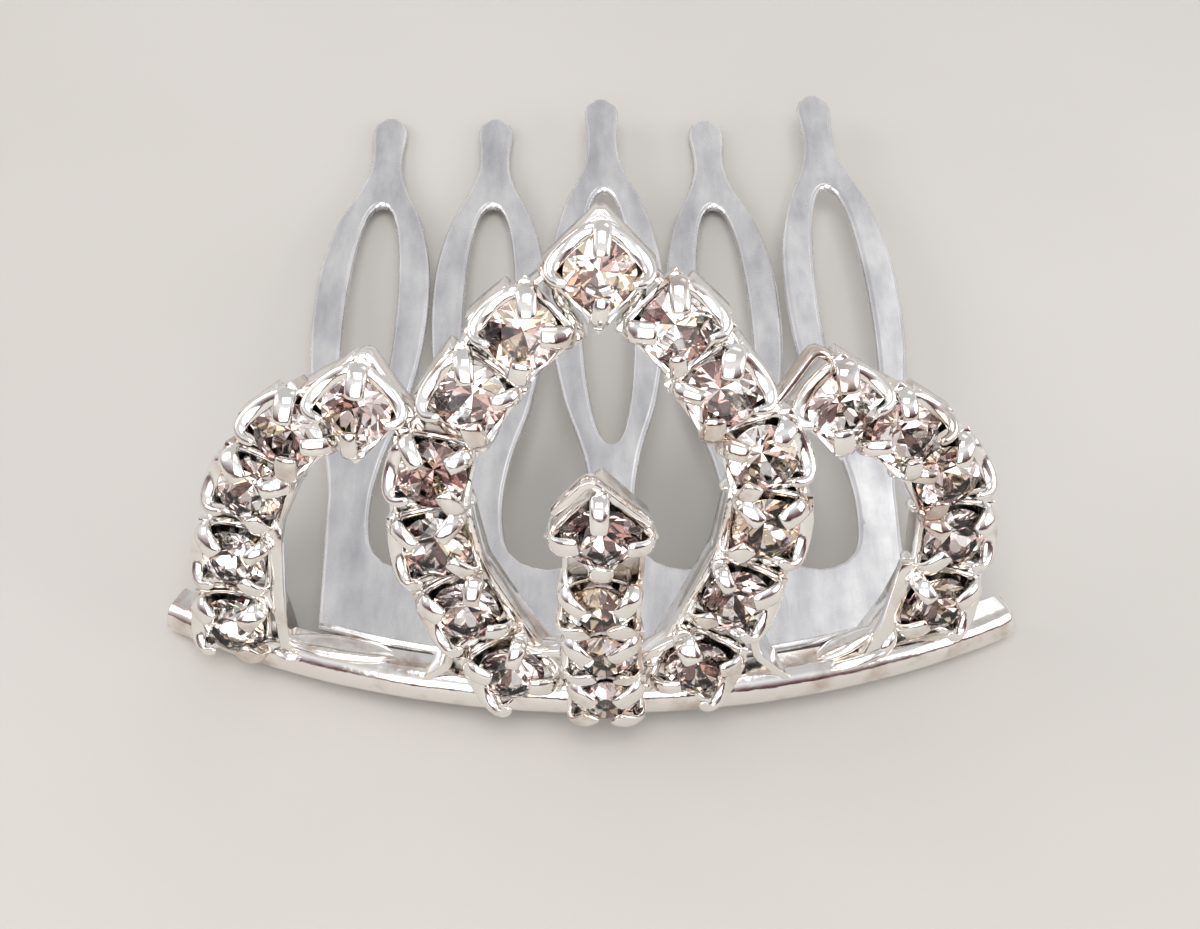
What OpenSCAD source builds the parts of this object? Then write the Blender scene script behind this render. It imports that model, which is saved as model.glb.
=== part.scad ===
// Mini tiara on a five-tooth hair comb, lying with its teeth and the band's ends on a surface.
// The stamped comb lies nearly flat, the curved band runs across its root, and three arches and a
// short post of claw cups stand up from the band and lean back over the comb. All lengths are in mm.

/* [Band] */
// Length of the band along its curve
band_length = 47.8; // [44:0.1:56]
// Radius of the band's curve, seen from above
band_radius = 47; // [40:0.5:90]
// Height of the bar
band_height = 2.4; // [1.8:0.1:3]
// Depth of the bar, front to back
band_depth = 2.0; // [1.4:0.1:2.4]
// How far the band's middle stands above its ends
band_rise = 1.35; // [0:0.05:2]

/* [Cups and stones] */
// Side of a square claw cup at its rim
cup_side = 4.0; // [3.6:0.1:4.2]
// Side of the cup at its back
cup_back_side = 3.3; // [2.8:0.1:3.6]
// Depth of the cup behind the stone's girdle
cup_depth = 2.4; // [2:0.1:3]
// Height of the claw tips above the stone's girdle
claw_height = 0.62; // [0.5:0.02:0.9]
// Width of a claw where it leaves the rim
claw_width = 0.85; // [0.5:0.05:1]
// Diameter of a stone at its girdle
stone_diameter = 3.4; // [2.8:0.1:3.4]
// Height of a stone's crown
crown_height = 0.58; // [0.4:0.02:0.6]
// Depth of a stone's pavilion
pavilion_depth = 1.45; // [1:0.05:1.7]
// Space between a stone and its cup
stone_gap = 0.08; // [0.04:0.01:0.15]

/* [Arches] */
// How far the stones' plane stands in front of the band's axis
face_forward = 1.3; // [1:0.1:2]
// Lean of the arches at the band, in degrees
lean_foot = 14; // [0:1:20]
// Further lean for each millimetre of height, in degrees
lean_growth = 0.77; // [0:0.01:1]
// Thickness of the ribbon that the cups are soldered to
ribbon_thickness = 0.45; // [0.3:0.05:0.8]
// Depth of the arches' outer ribbons, front edge to back edge
ribbon_depth = 2.7; // [2:0.1:4]
// Depth of the ribbons inside the arches and on the post
inner_ribbon_depth = 1.7; // [1:0.1:2.5]
// Share of the band's turn that the cups follow
face_turn = 0.5; // [0:0.05:1]
// Distance from the stones' girdle back to the ribbon's front edge
ribbon_set_back = 0.45; // [0.2:0.05:1]
// Depth of the pointed roofs over the side arches and over the post
roof_depth = 1.2; // [0.8:0.1:2]

/* [Post] */
// Space between the stones of the post
post_pitch = 4.15; // [4.05:0.05:4.5]
// Lean of the post's three lower cups, in degrees
post_lean = -2; // [-8:1:10]
// Lean of the post's diamond cup, in degrees
post_tip_lean = 18; // [0:1:30]
// Distance of the post's lowest stone in front of the band's axis
post_forward = 1.5; // [1:0.1:2.5]
// Height of the post's lowest stone above the surface
post_foot_height = 4.35; // [4:0.05:5]

/* [Comb] */
// Thickness of the stamped sheet
sheet = 0.7; // [0.5:0.05:1]
// Space between the axes of two teeth
tooth_pitch = 7.5; // [7.2:0.1:8.5]
// Distance from the band's axis to the bottoms of the gaps
gap_start = 7.6; // [6.5:0.1:9]
// Length of a tooth from the gap's bottom to its tip
tooth_length = 42.2; // [40:0.1:50]
// Height of the sheet's middle plane where the teeth begin
comb_height = 3.0; // [2.6:0.05:3.2]
// How far the comb sits to the right of the band's middle
comb_shift = 1.15; // [-2:0.05:2]
// Turn of the comb against the band, in degrees
comb_turn = 0.6; // [-2:0.1:2]
// Upward bend of the middle tooth and of the right-hand one, in degrees
middle_tooth_lift = 2.5; // [0:0.1:5]
right_tooth_lift = 3.1; // [0:0.1:6]

/* [Hidden] */

silver = [0.80, 0.80, 0.82];
sheet_silver = [0.72, 0.72, 0.75];
crystal = [0.86, 0.80, 0.80];

stone_sides = 16;
stone_radius = stone_diameter / 2;
table_radius = 0.56 * stone_radius;
girdle_half = 0.05;
cup_half = cup_side / 2;

// The face is a surface that curves with the band and leans back with height. A place on it is
// [across, up]: across is measured along the band's curve, up is measured along the leaning face.
// A chain of stones starts at its foot and takes one row for each further stone:
// [step to the next stone, heading of that step]. Heading 90 is straight up and headings under 90
// turn towards the tiara's middle, so both halves use the same sense. The arches are bent by hand,
// so the two halves differ a little.
peak_place = [-0.2, 24.3];
arch_left_foot = [-4.3, 2.6];
arch_left_steps = [[4.4, 123], [4.0, 115], [4.0, 95], [4.5, 66], [4.2, 52]];
arch_right_foot = [5.1, 2.9];
arch_right_steps = [[4.6, 115], [4.3, 112], [3.9, 89], [4.1, 58], [4.1, 54]];
side_left_foot = [-19.4, 2.2];
side_left_steps = [[4.4, 91], [4.5, 81], [4.1, 61], [4.2, 28]];
side_right_foot = [18.3, 4.3];
side_right_steps = [[4.1, 105], [3.8, 85], [3.8, 50], [4.1, 30]];
peak_heading = 36;

// Outline of one tooth from the gap's bottom to its tip: [along, half width].
tooth_outline = [
  [0.0, 3.75], [0.15, 3.05], [0.5, 2.3], [1.2, 1.7], [2.4, 1.35], [5.2, 1.25],
  [8.0, 1.6], [10.2, 2.1], [11.4, 2.45], [13.2, 2.85], [17.0, 3.4],
  [21.5, 3.65], [25.5, 3.55], [28.5, 3.15], [30.6, 2.7], [31.6, 2.4],
  [33.4, 1.75], [35.2, 1.25], [36.6, 1.05], [38.4, 1.05], [40.2, 1.2], [41.2, 1.15],
  [41.9, 0.8], [42.2, 0.4]
];
eye_start = 9.3;
eye_end = 32.2;
tooth_scale = tooth_length / 42.2;

// The foremost point is a claw of the post's second cup, the rearmost points are the teeth's tips.
reach_front = post_forward - (2 * post_pitch + 1.5) * sin(post_lean) + claw_height;
reach_back = gap_start + tooth_length + 2 * tooth_pitch * sin(comb_turn);
origin_shift = (reach_back - reach_front) / 2;

// Geometry of the face

function degrees_across(across) = across / band_radius * 180 / PI;
function band_middle(across) =
  band_height / 2 + band_rise * (1 - pow(across / (band_length / 2), 2));
function lean_at(up) = lean_foot + lean_growth * up;
function set_back(up) =
  lean_growth == 0 ? up * sin(lean_foot)
  : (cos(lean_foot) - cos(lean_at(up))) * 180 / PI / lean_growth;
function climb(up) =
  lean_growth == 0 ? up * cos(lean_foot)
  : (sin(lean_at(up)) - sin(lean_foot)) * 180 / PI / lean_growth;
function face_point(across, up, out = 0) =
  let (
    turn = degrees_across(across),
    lean = lean_at(up),
    radius = band_radius + face_forward - set_back(up)
  )
  [
    radius * sin(turn) + out * cos(lean) * sin(face_turn * turn),
    band_radius - radius * cos(turn) - out * cos(lean) * cos(face_turn * turn),
    band_middle(across) + climb(up) + out * sin(lean)
  ];

// Places of the stones in a chain. side is -1 on the left and 1 on the right.
function step_vector(row, side) = row[0] * [-side * cos(row[1]), sin(row[1])];
function chain_place(chain, i) =
  i == 0 ? chain[0] : chain_place(chain, i - 1) + step_vector(chain[1][i - 1], chain[2]);
function chain_heading(chain, i) =
  let (
    before = i == 0 ? chain[1][0][1] : chain[1][i - 1][1],
    after = i >= len(chain[1]) ? chain[3] : chain[1][i][1]
  )
  (before + after) / 2;
function cup_turn(heading, side) = side < 0 ? heading - 90 : 90 - heading;

function smooth_row(t, column) =
  let (
    rows = tooth_outline,
    found = [for (i = [0:len(rows) - 2]) if (rows[i][0] <= t) i],
    i = found[len(found) - 1],
    part = (t - rows[i][0]) / (rows[i + 1][0] - rows[i][0])
  )
  rows[i][column] + (rows[i + 1][column] - rows[i][column]) * part;

// Sets its children on the face, with local Y up along the face and local Z outwards.
module on_face(place, turn = 0) {
  translate(face_point(place[0], place[1]))
    rotate([90 - lean_at(place[1]), 0, face_turn * degrees_across(place[0])])
      rotate([0, 0, turn])
        children();
}

// Sets its children on the post: number 4 is the lowest cup and number 1 the diamond at the top.
module on_post(number) {
  lower = 4 - number;
  top_step = cup_half * (1 + sqrt(2)) - 0.1;
  along = number == 1 ? 2 * post_pitch : lower * post_pitch;
  tip = number == 1 ? top_step : 0;
  translate([
    number == 4 ? 0.5 : number == 3 ? 0.25 : 0,
    -post_forward + along * sin(post_lean) + tip * sin(post_tip_lean - 2),
    post_foot_height + along * cos(post_lean) + tip * cos(post_tip_lean - 2)
  ])
    rotate([90 - (number == 1 ? post_tip_lean : post_lean), 0, 0])
      rotate([0, 0, number == 1 ? 45 : 0])
        children();
}

// Claw cup and stone, in the cup's own frame with the girdle at zero

// A claw rises from a corner of the rim and bends in over the stone's crown.
module claw() {
  foot = [stone_radius + 0.3, stone_radius + 0.85, claw_width / 2, -0.3];
  tip = [stone_radius - 0.28, stone_radius + 0.16, claw_width * 0.32, claw_height];
  bar_through([for (level = [foot, tip]) [
    [level[0], level[2], level[3]],
    [level[1], level[2], level[3]],
    [level[1], -level[2], level[3]],
    [level[0], -level[2], level[3]]
  ]]);
}

module claws() {
  for (corner = [45:90:315])
    rotate([0, 0, corner])
      claw();
}

// The cup's outline: a square whose corners are taken off.
function cup_outline(side) =
  let (h = side / 2, c = side / 2 - 0.28)
  [[h, -c], [h, c], [c, h], [-c, h], [-h, c], [-h, -c], [-c, -h], [c, -h]];

module cup_body() {
  translate([0, 0, -cup_depth])
    linear_extrude(height = cup_depth - 0.1, scale = cup_side / cup_back_side)
      polygon(cup_outline(cup_back_side));
}

// The seat for the stone, a cone that is open at the back.
module cup_bore() {
  seat = stone_radius + stone_gap + 0.02;
  slope = (seat - 0.8) / cup_depth;
  translate([0, 0, -cup_depth - 0.3])
    cylinder(h = cup_depth + 0.3, r1 = 0.8 - 0.3 * slope, r2 = seat, $fn = stone_sides);
  cylinder(h = 0.9, r = seat, $fn = stone_sides);
}

// A round cut stone: table, eight crown facets of three faces each, girdle and pavilion.
module cut_stone() {
  ring = [for (i = [0:stone_sides - 1]) i * 360 / stone_sides];
  table_count = stone_sides / 2;
  points = concat(
    [for (a = ring) [stone_radius * cos(a), stone_radius * sin(a), -girdle_half]],
    [for (a = ring) [stone_radius * cos(a), stone_radius * sin(a), girdle_half]],
    [for (i = [0:table_count - 1]) let (a = i * 360 / table_count)
      [table_radius * cos(a), table_radius * sin(a), crown_height]],
    [[0, 0, -pavilion_depth]]
  );
  low = 0;
  high = stone_sides;
  table = 2 * stone_sides;
  culet = table + table_count;
  faces = concat(
    [for (i = [0:stone_sides - 1]) let (j = (i + 1) % stone_sides)
      [low + i, high + i, high + j, low + j]],
    [for (i = [0:stone_sides - 1]) let (j = (i + 1) % stone_sides) [low + i, low + j, culet]],
    [for (k = [0:table_count - 1]) let (a = 2 * k, b = 2 * k + 1)
      [high + a, table + k, high + b]],
    [for (k = [0:table_count - 1]) let (b = 2 * k + 1, c = (2 * k + 2) % stone_sides)
      [high + b, table + (k + 1) % table_count, high + c]],
    [for (k = [0:table_count - 1]) let (b = 2 * k + 1)
      [high + b, table + k, table + (k + 1) % table_count]],
    [[for (k = [table_count - 1:-1:0]) table + k]]
  );
  polyhedron(points = points, faces = faces, convexity = 2);
}

// A closed bar through rings of points, each ring counter-clockwise as seen from the bar's start.
module bar_through(rings) {
  sides = len(rings[0]);
  count = len(rings);
  points = [for (r = rings) for (p = r) p];
  walls = [for (i = [0:count - 2]) for (k = [0:sides - 1]) let (m = (k + 1) % sides)
    [i * sides + k, i * sides + m, (i + 1) * sides + m, (i + 1) * sides + k]];
  first = [for (k = [sides - 1:-1:0]) k];
  last = [for (k = [0:sides - 1]) (count - 1) * sides + k];
  polyhedron(points = points, faces = concat(walls, [first, last]), convexity = 6);
}

// Ribbons

function unit(v) = v / norm(v);
function left_of(v) = [-v[1], v[0]];
function mitre(path, i) =
  let (
    before = left_of(unit(i == 0 ? path[1] - path[0] : path[i] - path[i - 1])),
    after = left_of(unit(i == len(path) - 1 ? path[i] - path[i - 1] : path[i + 1] - path[i])),
    middle = unit(before + after)
  )
  middle / (middle * before);

// A ribbon standing on edge along a path of places on the face. back is the place of its back edge,
// one number or a list with one number for each point of the path.
module ribbon(path, front = -ribbon_set_back, back = -ribbon_set_back - ribbon_depth) {
  bar_through([for (i = [0:len(path) - 1])
    let (
      left = path[i] + mitre(path, i) * ribbon_thickness / 2,
      right = path[i] - mitre(path, i) * ribbon_thickness / 2,
      rear = is_list(back) ? back[i] : back
    )
    [
      face_point(left[0], left[1], rear),
      face_point(right[0], right[1], rear),
      face_point(right[0], right[1], front),
      face_point(left[0], left[1], front)
    ]
  ]);
}

// Direction of a heading and of the outer side of a cup with that heading.
function along(heading, side) = [-side * cos(heading), sin(heading)];
function outward(heading, side) = [side * sin(heading), cos(heading)];

// Corner of cup i: end is 1 for its upper end and -1 for its lower one, flank is 1 for the outer
// side and -1 for the inner one.
function cup_corner(chain, i, end, flank) =
  let (heading = chain_heading(chain, i))
  chain_place(chain, i)
  + along(heading, chain[2]) * end * cup_half
  + outward(heading, chain[2]) * flank * (cup_half + ribbon_thickness / 2 - 0.2);

// Path of the ribbon along one side of the cups from first to last. Between two cups it bends half
// way between their corners.
function flank_path(chain, first, last, flank) = concat(
  [cup_corner(chain, first, -1, flank)],
  [for (i = [first:last - 1])
    (cup_corner(chain, i, 1, flank) + cup_corner(chain, i + 1, -1, flank)) / 2],
  [cup_corner(chain, last, 1, flank)]
);
function reversed(list) = [for (i = [len(list) - 1:-1:0]) list[i]];
function without_last(list) = [for (i = [0:len(list) - 2]) list[i]];

inner_back = -ribbon_set_back - inner_ribbon_depth;
outer_back = -ribbon_set_back - ribbon_depth;
roof_back = -ribbon_set_back - roof_depth;

// Height of the roof's point over the middle of a diamond cup.
roof_reach = (cup_half + ribbon_thickness / 2 - 0.2) * sqrt(2);

module centre_arch_ribbons() {
  left = without_last(flank_path(arch_left, 1, 5, 1));
  right = without_last(flank_path(arch_right, 1, 5, 1));
  apex = peak_place + [0, roof_reach];
  ribbon(concat(
    [[-9.0, 0.9], [-7.6, 2.2]], left, [peak_place + [-3.3, roof_reach - 3.3]],
    [apex],
    [peak_place + [3.3, roof_reach - 3.3]], reversed(right), [[8.3, 2.9], [10.0, 1.0]]
  ));
  ribbon(flank_path(arch_left, 0, 2, -1), back = inner_back);
  ribbon(flank_path(arch_right, 0, 2, -1), back = inner_back);
}

// The outer ribbon folds over the topmost cup into a pointed top and runs on to the centre arch.
// slip moves the fold that far from the cup's corner towards the tiara's middle.
module side_arch_ribbons(chain, inner_foot, slip) {
  top = len(chain[1]);
  side = chain[2];
  heading = chain_heading(chain, top);
  reach = cup_half + ribbon_thickness / 2 - 0.2;
  place = chain_place(chain, top);
  fold = place + along(heading, side) * (reach + slip) + outward(heading, side) * (reach - slip);
  down = fold - outward(heading, side) * (2 * reach - slip + 1.0);
  flank = without_last(flank_path(chain, 0, top, 1));
  ribbon(
    concat(flank, [fold, down]),
    back = concat([for (point = flank) outer_back], [roof_back, roof_back])
  );
  ribbon(concat(inner_foot, flank_path(chain, 1, 2, -1)), back = inner_back);
}

// Chains of cups: foot, steps, side, heading at the last cup.
arch_left = [arch_left_foot, arch_left_steps, -1, peak_heading];
arch_right = [arch_right_foot, arch_right_steps, 1, peak_heading];
side_left = [side_left_foot, side_left_steps, -1, 62];
side_right = [side_right_foot, side_right_steps, 1, 60];

module on_chain(chain, i) {
  on_face(chain_place(chain, i), cup_turn(chain_heading(chain, i), chain[2]))
    children();
}

// Sets its children at every cup.
module at_cups() {
  for (chain = [arch_left, arch_right, side_left, side_right])
    for (i = [0:len(chain[1])])
      on_chain(chain, i) children();
  on_face(peak_place, 45) children();
  for (number = [1:4])
    on_post(number) children();
}

// The post's ribbons run up both sides of its lower cups, the right one from the lowest cup, and a
// pointed roof covers its diamond cup.
module post_ribbons() {
  reach = cup_half - 0.2;
  upper_end = post_pitch + cup_half + 1.9;
  for (side = [-1, 1]) {
    lower_end = side < 0 ? -cup_half - 0.2 : -post_pitch - 1.2;
    on_post(3)
      translate([
        side * (reach + ribbon_thickness / 2) - ribbon_thickness / 2, lower_end, inner_back
      ])
        cube([ribbon_thickness, upper_end - lower_end, inner_ribbon_depth]);
  }
  // the roof is folded a little to the left of the cup's corner
  right_limb = cup_half - 0.3 - ribbon_thickness;
  left_limb = cup_half + 0.05 - ribbon_thickness;
  on_post(1) {
    translate([right_limb, -1.7, roof_back])
      cube([ribbon_thickness, 1.7 + left_limb + ribbon_thickness, roof_depth]);
    translate([-1.7, left_limb, roof_back])
      cube([1.7 + right_limb + ribbon_thickness / 2, ribbon_thickness, roof_depth]);
  }
}

// The bar's section, looking along it: flat at the back, rounded at the front and top.
function band_section(across, grow) =
  let (
    h = band_height / 2 * grow,
    d = band_depth / 2 * grow,
    turn = degrees_across(across),
    outline = concat([for (a = [-90:30:90]) [d * cos(a), h * sin(a)]], [[-d, h], [-d, -h]])
  )
  [for (p = outline)
    let (radius = band_radius + p[0])
    [radius * sin(turn), band_radius - radius * cos(turn), band_middle(across) + p[1]]];

module band() {
  half = band_length / 2;
  stations = 32;
  bar_through([
    for (i = [0:stations + 1])
      let (
        across = i > stations ? half : -half + (band_length - 0.35) * i / stations,
        grow = i > stations ? 0.72 : 1
      )
      band_section(across, grow)
  ]);
}

module tooth_plan(index) {
  steps = 30;
  alongs = concat([0, 0.15, 0.5, 1.2], [for (i = [1:steps]) 1.2 + (42.2 - 1.2) * i / steps]);
  right = [for (t = alongs) [smooth_row(min(t, 42.19), 1), t * tooth_scale]];
  left = [for (i = [len(alongs) - 1:-1:0]) [-right[i][0], right[i][1]]];
  difference() {
    polygon(concat([[tooth_pitch / 2, -1]], right, left, [[-tooth_pitch / 2, -1]]));
    polygon(eye_outline());
    // the outermost teeth run straight down to the band on their outer side
    if (index == 2)
      polygon([[0.9, -2], [6, -2], [6, 5.2], [1.25, 5.2]]);
    if (index == -2)
      polygon([[-0.9, -2], [-6, -2], [-6, 5.2], [-1.25, 5.2]]);
  }
}

function eye_outline() =
  let (
    steps = 16,
    ts = [for (i = [1:steps - 1]) eye_start + (eye_end - eye_start) * (1 - cos(180 * i / steps)) / 2],
    right = [for (t = ts) [eye_half(t), t * tooth_scale]],
    left = [for (i = [len(ts) - 1:-1:0]) [-right[i][0], right[i][1]]]
  )
  concat([[0, eye_start * tooth_scale]], right, [[0, eye_end * tooth_scale]], left);

// Half width of the eye: a long drop, narrower at the root end.
function eye_half(t) =
  let (part = (t - eye_start) / (eye_end - eye_start))
  2.95 * pow(part, 0.45) * pow(1 - part, 0.42);

module tooth(index, lift) {
  translate([index * tooth_pitch, 0, 0])
    rotate([lift, 0, 0])
      translate([0, 0, -sheet / 2])
        linear_extrude(height = sheet)
          tooth_plan(index);
}

// The comb lies in its own plane and slopes down from the band to the tips.
comb_slope = asin((comb_height - sheet / 2) / tooth_length);

module comb_place() {
  translate([comb_shift, gap_start, comb_height])
    rotate([0, 0, comb_turn])
      rotate([-comb_slope, 0, 0])
        children();
}

module comb() {
  plate_half = 2 * tooth_pitch + 0.9;
  color(sheet_silver) place()
    difference() {
      comb_place() {
        for (index = [-2:2])
          tooth(index, index == 0 ? middle_tooth_lift : index == 2 ? right_tooth_lift : 0);
        translate([-plate_half, -gap_start, -sheet / 2])
          cube([2 * plate_half, gap_start + 0.02, sheet]);
      }
      // the plate's front edge follows the back of the band
      translate([0, band_radius, -5])
        difference() {
          cylinder(h = 20, r = band_radius + 20, $fn = 200);
          translate([0, 0, -1])
            cylinder(h = 22, r = band_radius - band_depth / 2 - 0.06, $fn = 200);
        }
    }
}

// The space of the comb's plate and all that is under it, behind the band's back face.
module plate_space() {
  intersection() {
    translate([0, band_radius, -5])
      cylinder(h = 20, r = band_radius - band_depth / 2 + 0.1, $fn = 200);
    comb_place()
      translate([-30, -gap_start - 3, -8])
        cube([60, gap_start + 9, 8 + sheet / 2 + 0.06]);
  }
}

// Moves the whole part so that its origin is under the middle of its outer box.
module place() {
  translate([0, -origin_shift, 0])
    children();
}

module tiara_frame() {
  color(silver) place() {
    difference() {
      union() {
        // the ribbons' feet stand on the band and clear of the plate
        difference() {
          union() {
            at_cups() cup_body();
            centre_arch_ribbons();
            side_arch_ribbons(side_left, [[-16.2, 0.8], [-17.0, 3.4]], 0.1);
            side_arch_ribbons(side_right, [[13.4, 0.9], [15.8, 4.0]], 0.35);
            ribbon([[20.0, 0.8], [20.3, 5.0]], -0.9, -2.6);
            post_ribbons();
          }
          plate_space();
        }
        band();
      }
      at_cups() cup_bore();
    }
    at_cups() claws();
  }
}

module chain_stone(chain, i) {
  color(crystal) place() on_chain(chain, i) cut_stone();
}

// Stones are numbered from the top of their chain downwards.
module stone_arch_left(number) { chain_stone(arch_left, 6 - number); }
module stone_arch_right(number) { chain_stone(arch_right, 6 - number); }
module stone_side_left(number) { chain_stone(side_left, 5 - number); }
module stone_side_right(number) { chain_stone(side_right, 5 - number); }

module stone_post(number) {
  color(crystal) place() on_post(number) cut_stone();
}

module stone_peak() {
  color(crystal) place() on_face(peak_place, 45) cut_stone();
}

tiara_frame();
comb();
stone_peak();
stone_arch_left(1);  // stone_arch_left_1
stone_arch_left(2);  // stone_arch_left_2
stone_arch_left(3);  // stone_arch_left_3
stone_arch_left(4);  // stone_arch_left_4
stone_arch_left(5);  // stone_arch_left_5
stone_arch_left(6);  // stone_arch_left_6
stone_arch_right(1);  // stone_arch_right_1
stone_arch_right(2);  // stone_arch_right_2
stone_arch_right(3);  // stone_arch_right_3
stone_arch_right(4);  // stone_arch_right_4
stone_arch_right(5);  // stone_arch_right_5
stone_arch_right(6);  // stone_arch_right_6
stone_post(1);  // stone_post_1
stone_post(2);  // stone_post_2
stone_post(3);  // stone_post_3
stone_post(4);  // stone_post_4
stone_side_left(1);  // stone_side_left_1
stone_side_left(2);  // stone_side_left_2
stone_side_left(3);  // stone_side_left_3
stone_side_left(4);  // stone_side_left_4
stone_side_left(5);  // stone_side_left_5
stone_side_right(1);  // stone_side_right_1
stone_side_right(2);  // stone_side_right_2
stone_side_right(3);  // stone_side_right_3
stone_side_right(4);  // stone_side_right_4
stone_side_right(5);  // stone_side_right_5
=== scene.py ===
"""Looks of a mini tiara on a hair comb: bright plated arches, a cloudy stamped comb, cut crystal.

The pieces are worked out in millimetres with the part's own named sizes, and are turned to metres
when they are finished.
"""

import logging
import random
from dataclasses import dataclass
from enum import Enum
from math import asin, atan, atan2, cos, degrees, pi, radians, sin, sqrt
from typing import Any, Callable, Sequence

import bmesh
import bpy
from mathutils import Matrix, Vector

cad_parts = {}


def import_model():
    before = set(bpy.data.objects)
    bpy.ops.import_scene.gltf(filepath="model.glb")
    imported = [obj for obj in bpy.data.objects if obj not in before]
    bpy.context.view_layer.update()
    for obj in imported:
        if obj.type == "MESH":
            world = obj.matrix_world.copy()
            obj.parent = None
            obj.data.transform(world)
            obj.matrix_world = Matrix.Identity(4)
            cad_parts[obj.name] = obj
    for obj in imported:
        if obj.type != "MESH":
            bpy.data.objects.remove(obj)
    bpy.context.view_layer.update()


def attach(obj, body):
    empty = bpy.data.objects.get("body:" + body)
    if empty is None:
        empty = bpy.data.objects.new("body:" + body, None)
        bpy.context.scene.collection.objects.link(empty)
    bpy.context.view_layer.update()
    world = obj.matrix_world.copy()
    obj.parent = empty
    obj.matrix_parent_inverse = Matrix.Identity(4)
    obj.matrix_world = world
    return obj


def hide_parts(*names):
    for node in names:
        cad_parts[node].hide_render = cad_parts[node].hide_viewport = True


log = logging.getLogger("mini_tiara")
MM = 0.001
Material = bpy.types.Material
Piece = bpy.types.Object
Socket = bpy.types.NodeSocket
Tree = bpy.types.NodeTree
Spot = tuple[float, float]
Place = tuple[float, float, float]
Row = tuple[float, ...]
Ring = Sequence[Vector]
Noise = tuple[float, float] | tuple[float, float, Place]
moved = Matrix.Translation


class Side(Enum):
    """Half of the tiara, as seen from the stones' side."""

    LEFT = -1
    RIGHT = 1


class Flank(Enum):
    """Side of a chain of cups: away from the arch's opening or towards it."""

    OUTER = 1
    INNER = -1


class FoilAndPaintedLightTint(Enum):
    """Colour that a facet of the foil throws back through the crystal: silver is the foil's own
    colour, the other tints are painted fire and painted shade.
    """

    SILVER = "FBFAFA"
    # Painted light: the warm, blue and green tints stand in for the fire that dispersion gives, the
    # dark tint for dark reflections in the crystal.
    ROSE = "E7DAD8"
    SMOKE = "8E7774"
    GOLD = "EDE0C9"
    BLUE = "8F9FF0"
    GREEN = "BFE0C0"


# Sizes


def turned(angle: float, axis: str) -> Matrix:
    """Turn by an angle in degrees about an axis."""
    return Matrix.Rotation(radians(angle), 4, axis)


@dataclass(frozen=True)
class CupSizes:
    """Sizes of a claw cup and its stone, in mm, with the girdle at height zero."""

    side: float = 4.0
    back_side: float = 3.3
    depth: float = 2.4
    rim: float = -0.1
    corner: float = 0.35
    wall: float = 0.36
    well: float = 0.65
    edge: float = 0.05
    scallop: float = 0.4
    scallop_half: float = 1.35
    stone_radius: float = 1.7
    seat_hole: float = 0.95
    back_hole: float = 0.8
    crown: float = 0.58
    pavilion: float = 1.45
    girdle_half: float = 0.05

    @property
    def half(self) -> float:
        """Half of the cup's side."""
        return self.side / 2


@dataclass(frozen=True)
class LeaningFace:
    """The surface that holds the stones: it curves with the band and leans back with height."""

    band_length: float = 47.8
    band_radius: float = 47.0
    band_height: float = 2.4
    band_depth: float = 2.0
    band_rise: float = 1.35
    forward: float = 1.3
    lean_foot: float = 14.0
    lean_growth: float = 0.77
    turn_share: float = 0.5
    origin_shift: float = 23.747

    def turn(self, across: float) -> float:
        """Angle in degrees that a length along the band's curve spans."""
        return degrees(across / self.band_radius)

    def band_middle(self, across: float) -> float:
        """Height of the bar's middle over the surface."""
        return self.band_height / 2 + self.band_rise * (1 - (across / (self.band_length / 2)) ** 2)

    def lean(self, up: float) -> float:
        """Lean of the face in degrees at a length up along it."""
        return self.lean_foot + self.lean_growth * up

    def point(self, across: float, up: float, out: float = 0.0) -> Vector:
        """Place in the part's frame, in mm.

        Args:
            across: length along the band's curve.
            up: length up along the leaning face.
            out: distance in front of the face.

        Returns:
            The place.
        """
        turn = radians(self.turn(across))
        share = self.turn_share * turn
        first, lean = radians(self.lean_foot), radians(self.lean(up))
        arm = degrees(1) / self.lean_growth
        radius = self.band_radius + self.forward - (cos(first) - cos(lean)) * arm
        ahead = out * cos(lean)
        return Vector((
            radius * sin(turn) + ahead * sin(share),
            self.band_radius - radius * cos(turn) - ahead * cos(share) - self.origin_shift,
            self.band_middle(across) + (sin(lean) - sin(first)) * arm + out * sin(lean)))

    def pose(self, place: Vector, turn: float) -> Matrix:
        """Frame of a cup at a place on the face, with its turn: Y up the face and Z outwards."""
        across, up = place
        return (moved(self.point(across, up))
                @ turned(self.turn_share * self.turn(across), "Z")
                @ turned(90 - self.lean(up), "X") @ turned(turn, "Z"))


FACE = LeaningFace()
CUP = CupSizes()
RIBBON_THICKNESS = 0.45
RIBBON_SHEET = RIBBON_THICKNESS - 0.03
RIBBON_FRONT = -0.45
OUTER_BACK = RIBBON_FRONT - 2.7
INNER_BACK = RIBBON_FRONT - 1.7
ROOF_BACK = RIBBON_FRONT - 1.2


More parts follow.
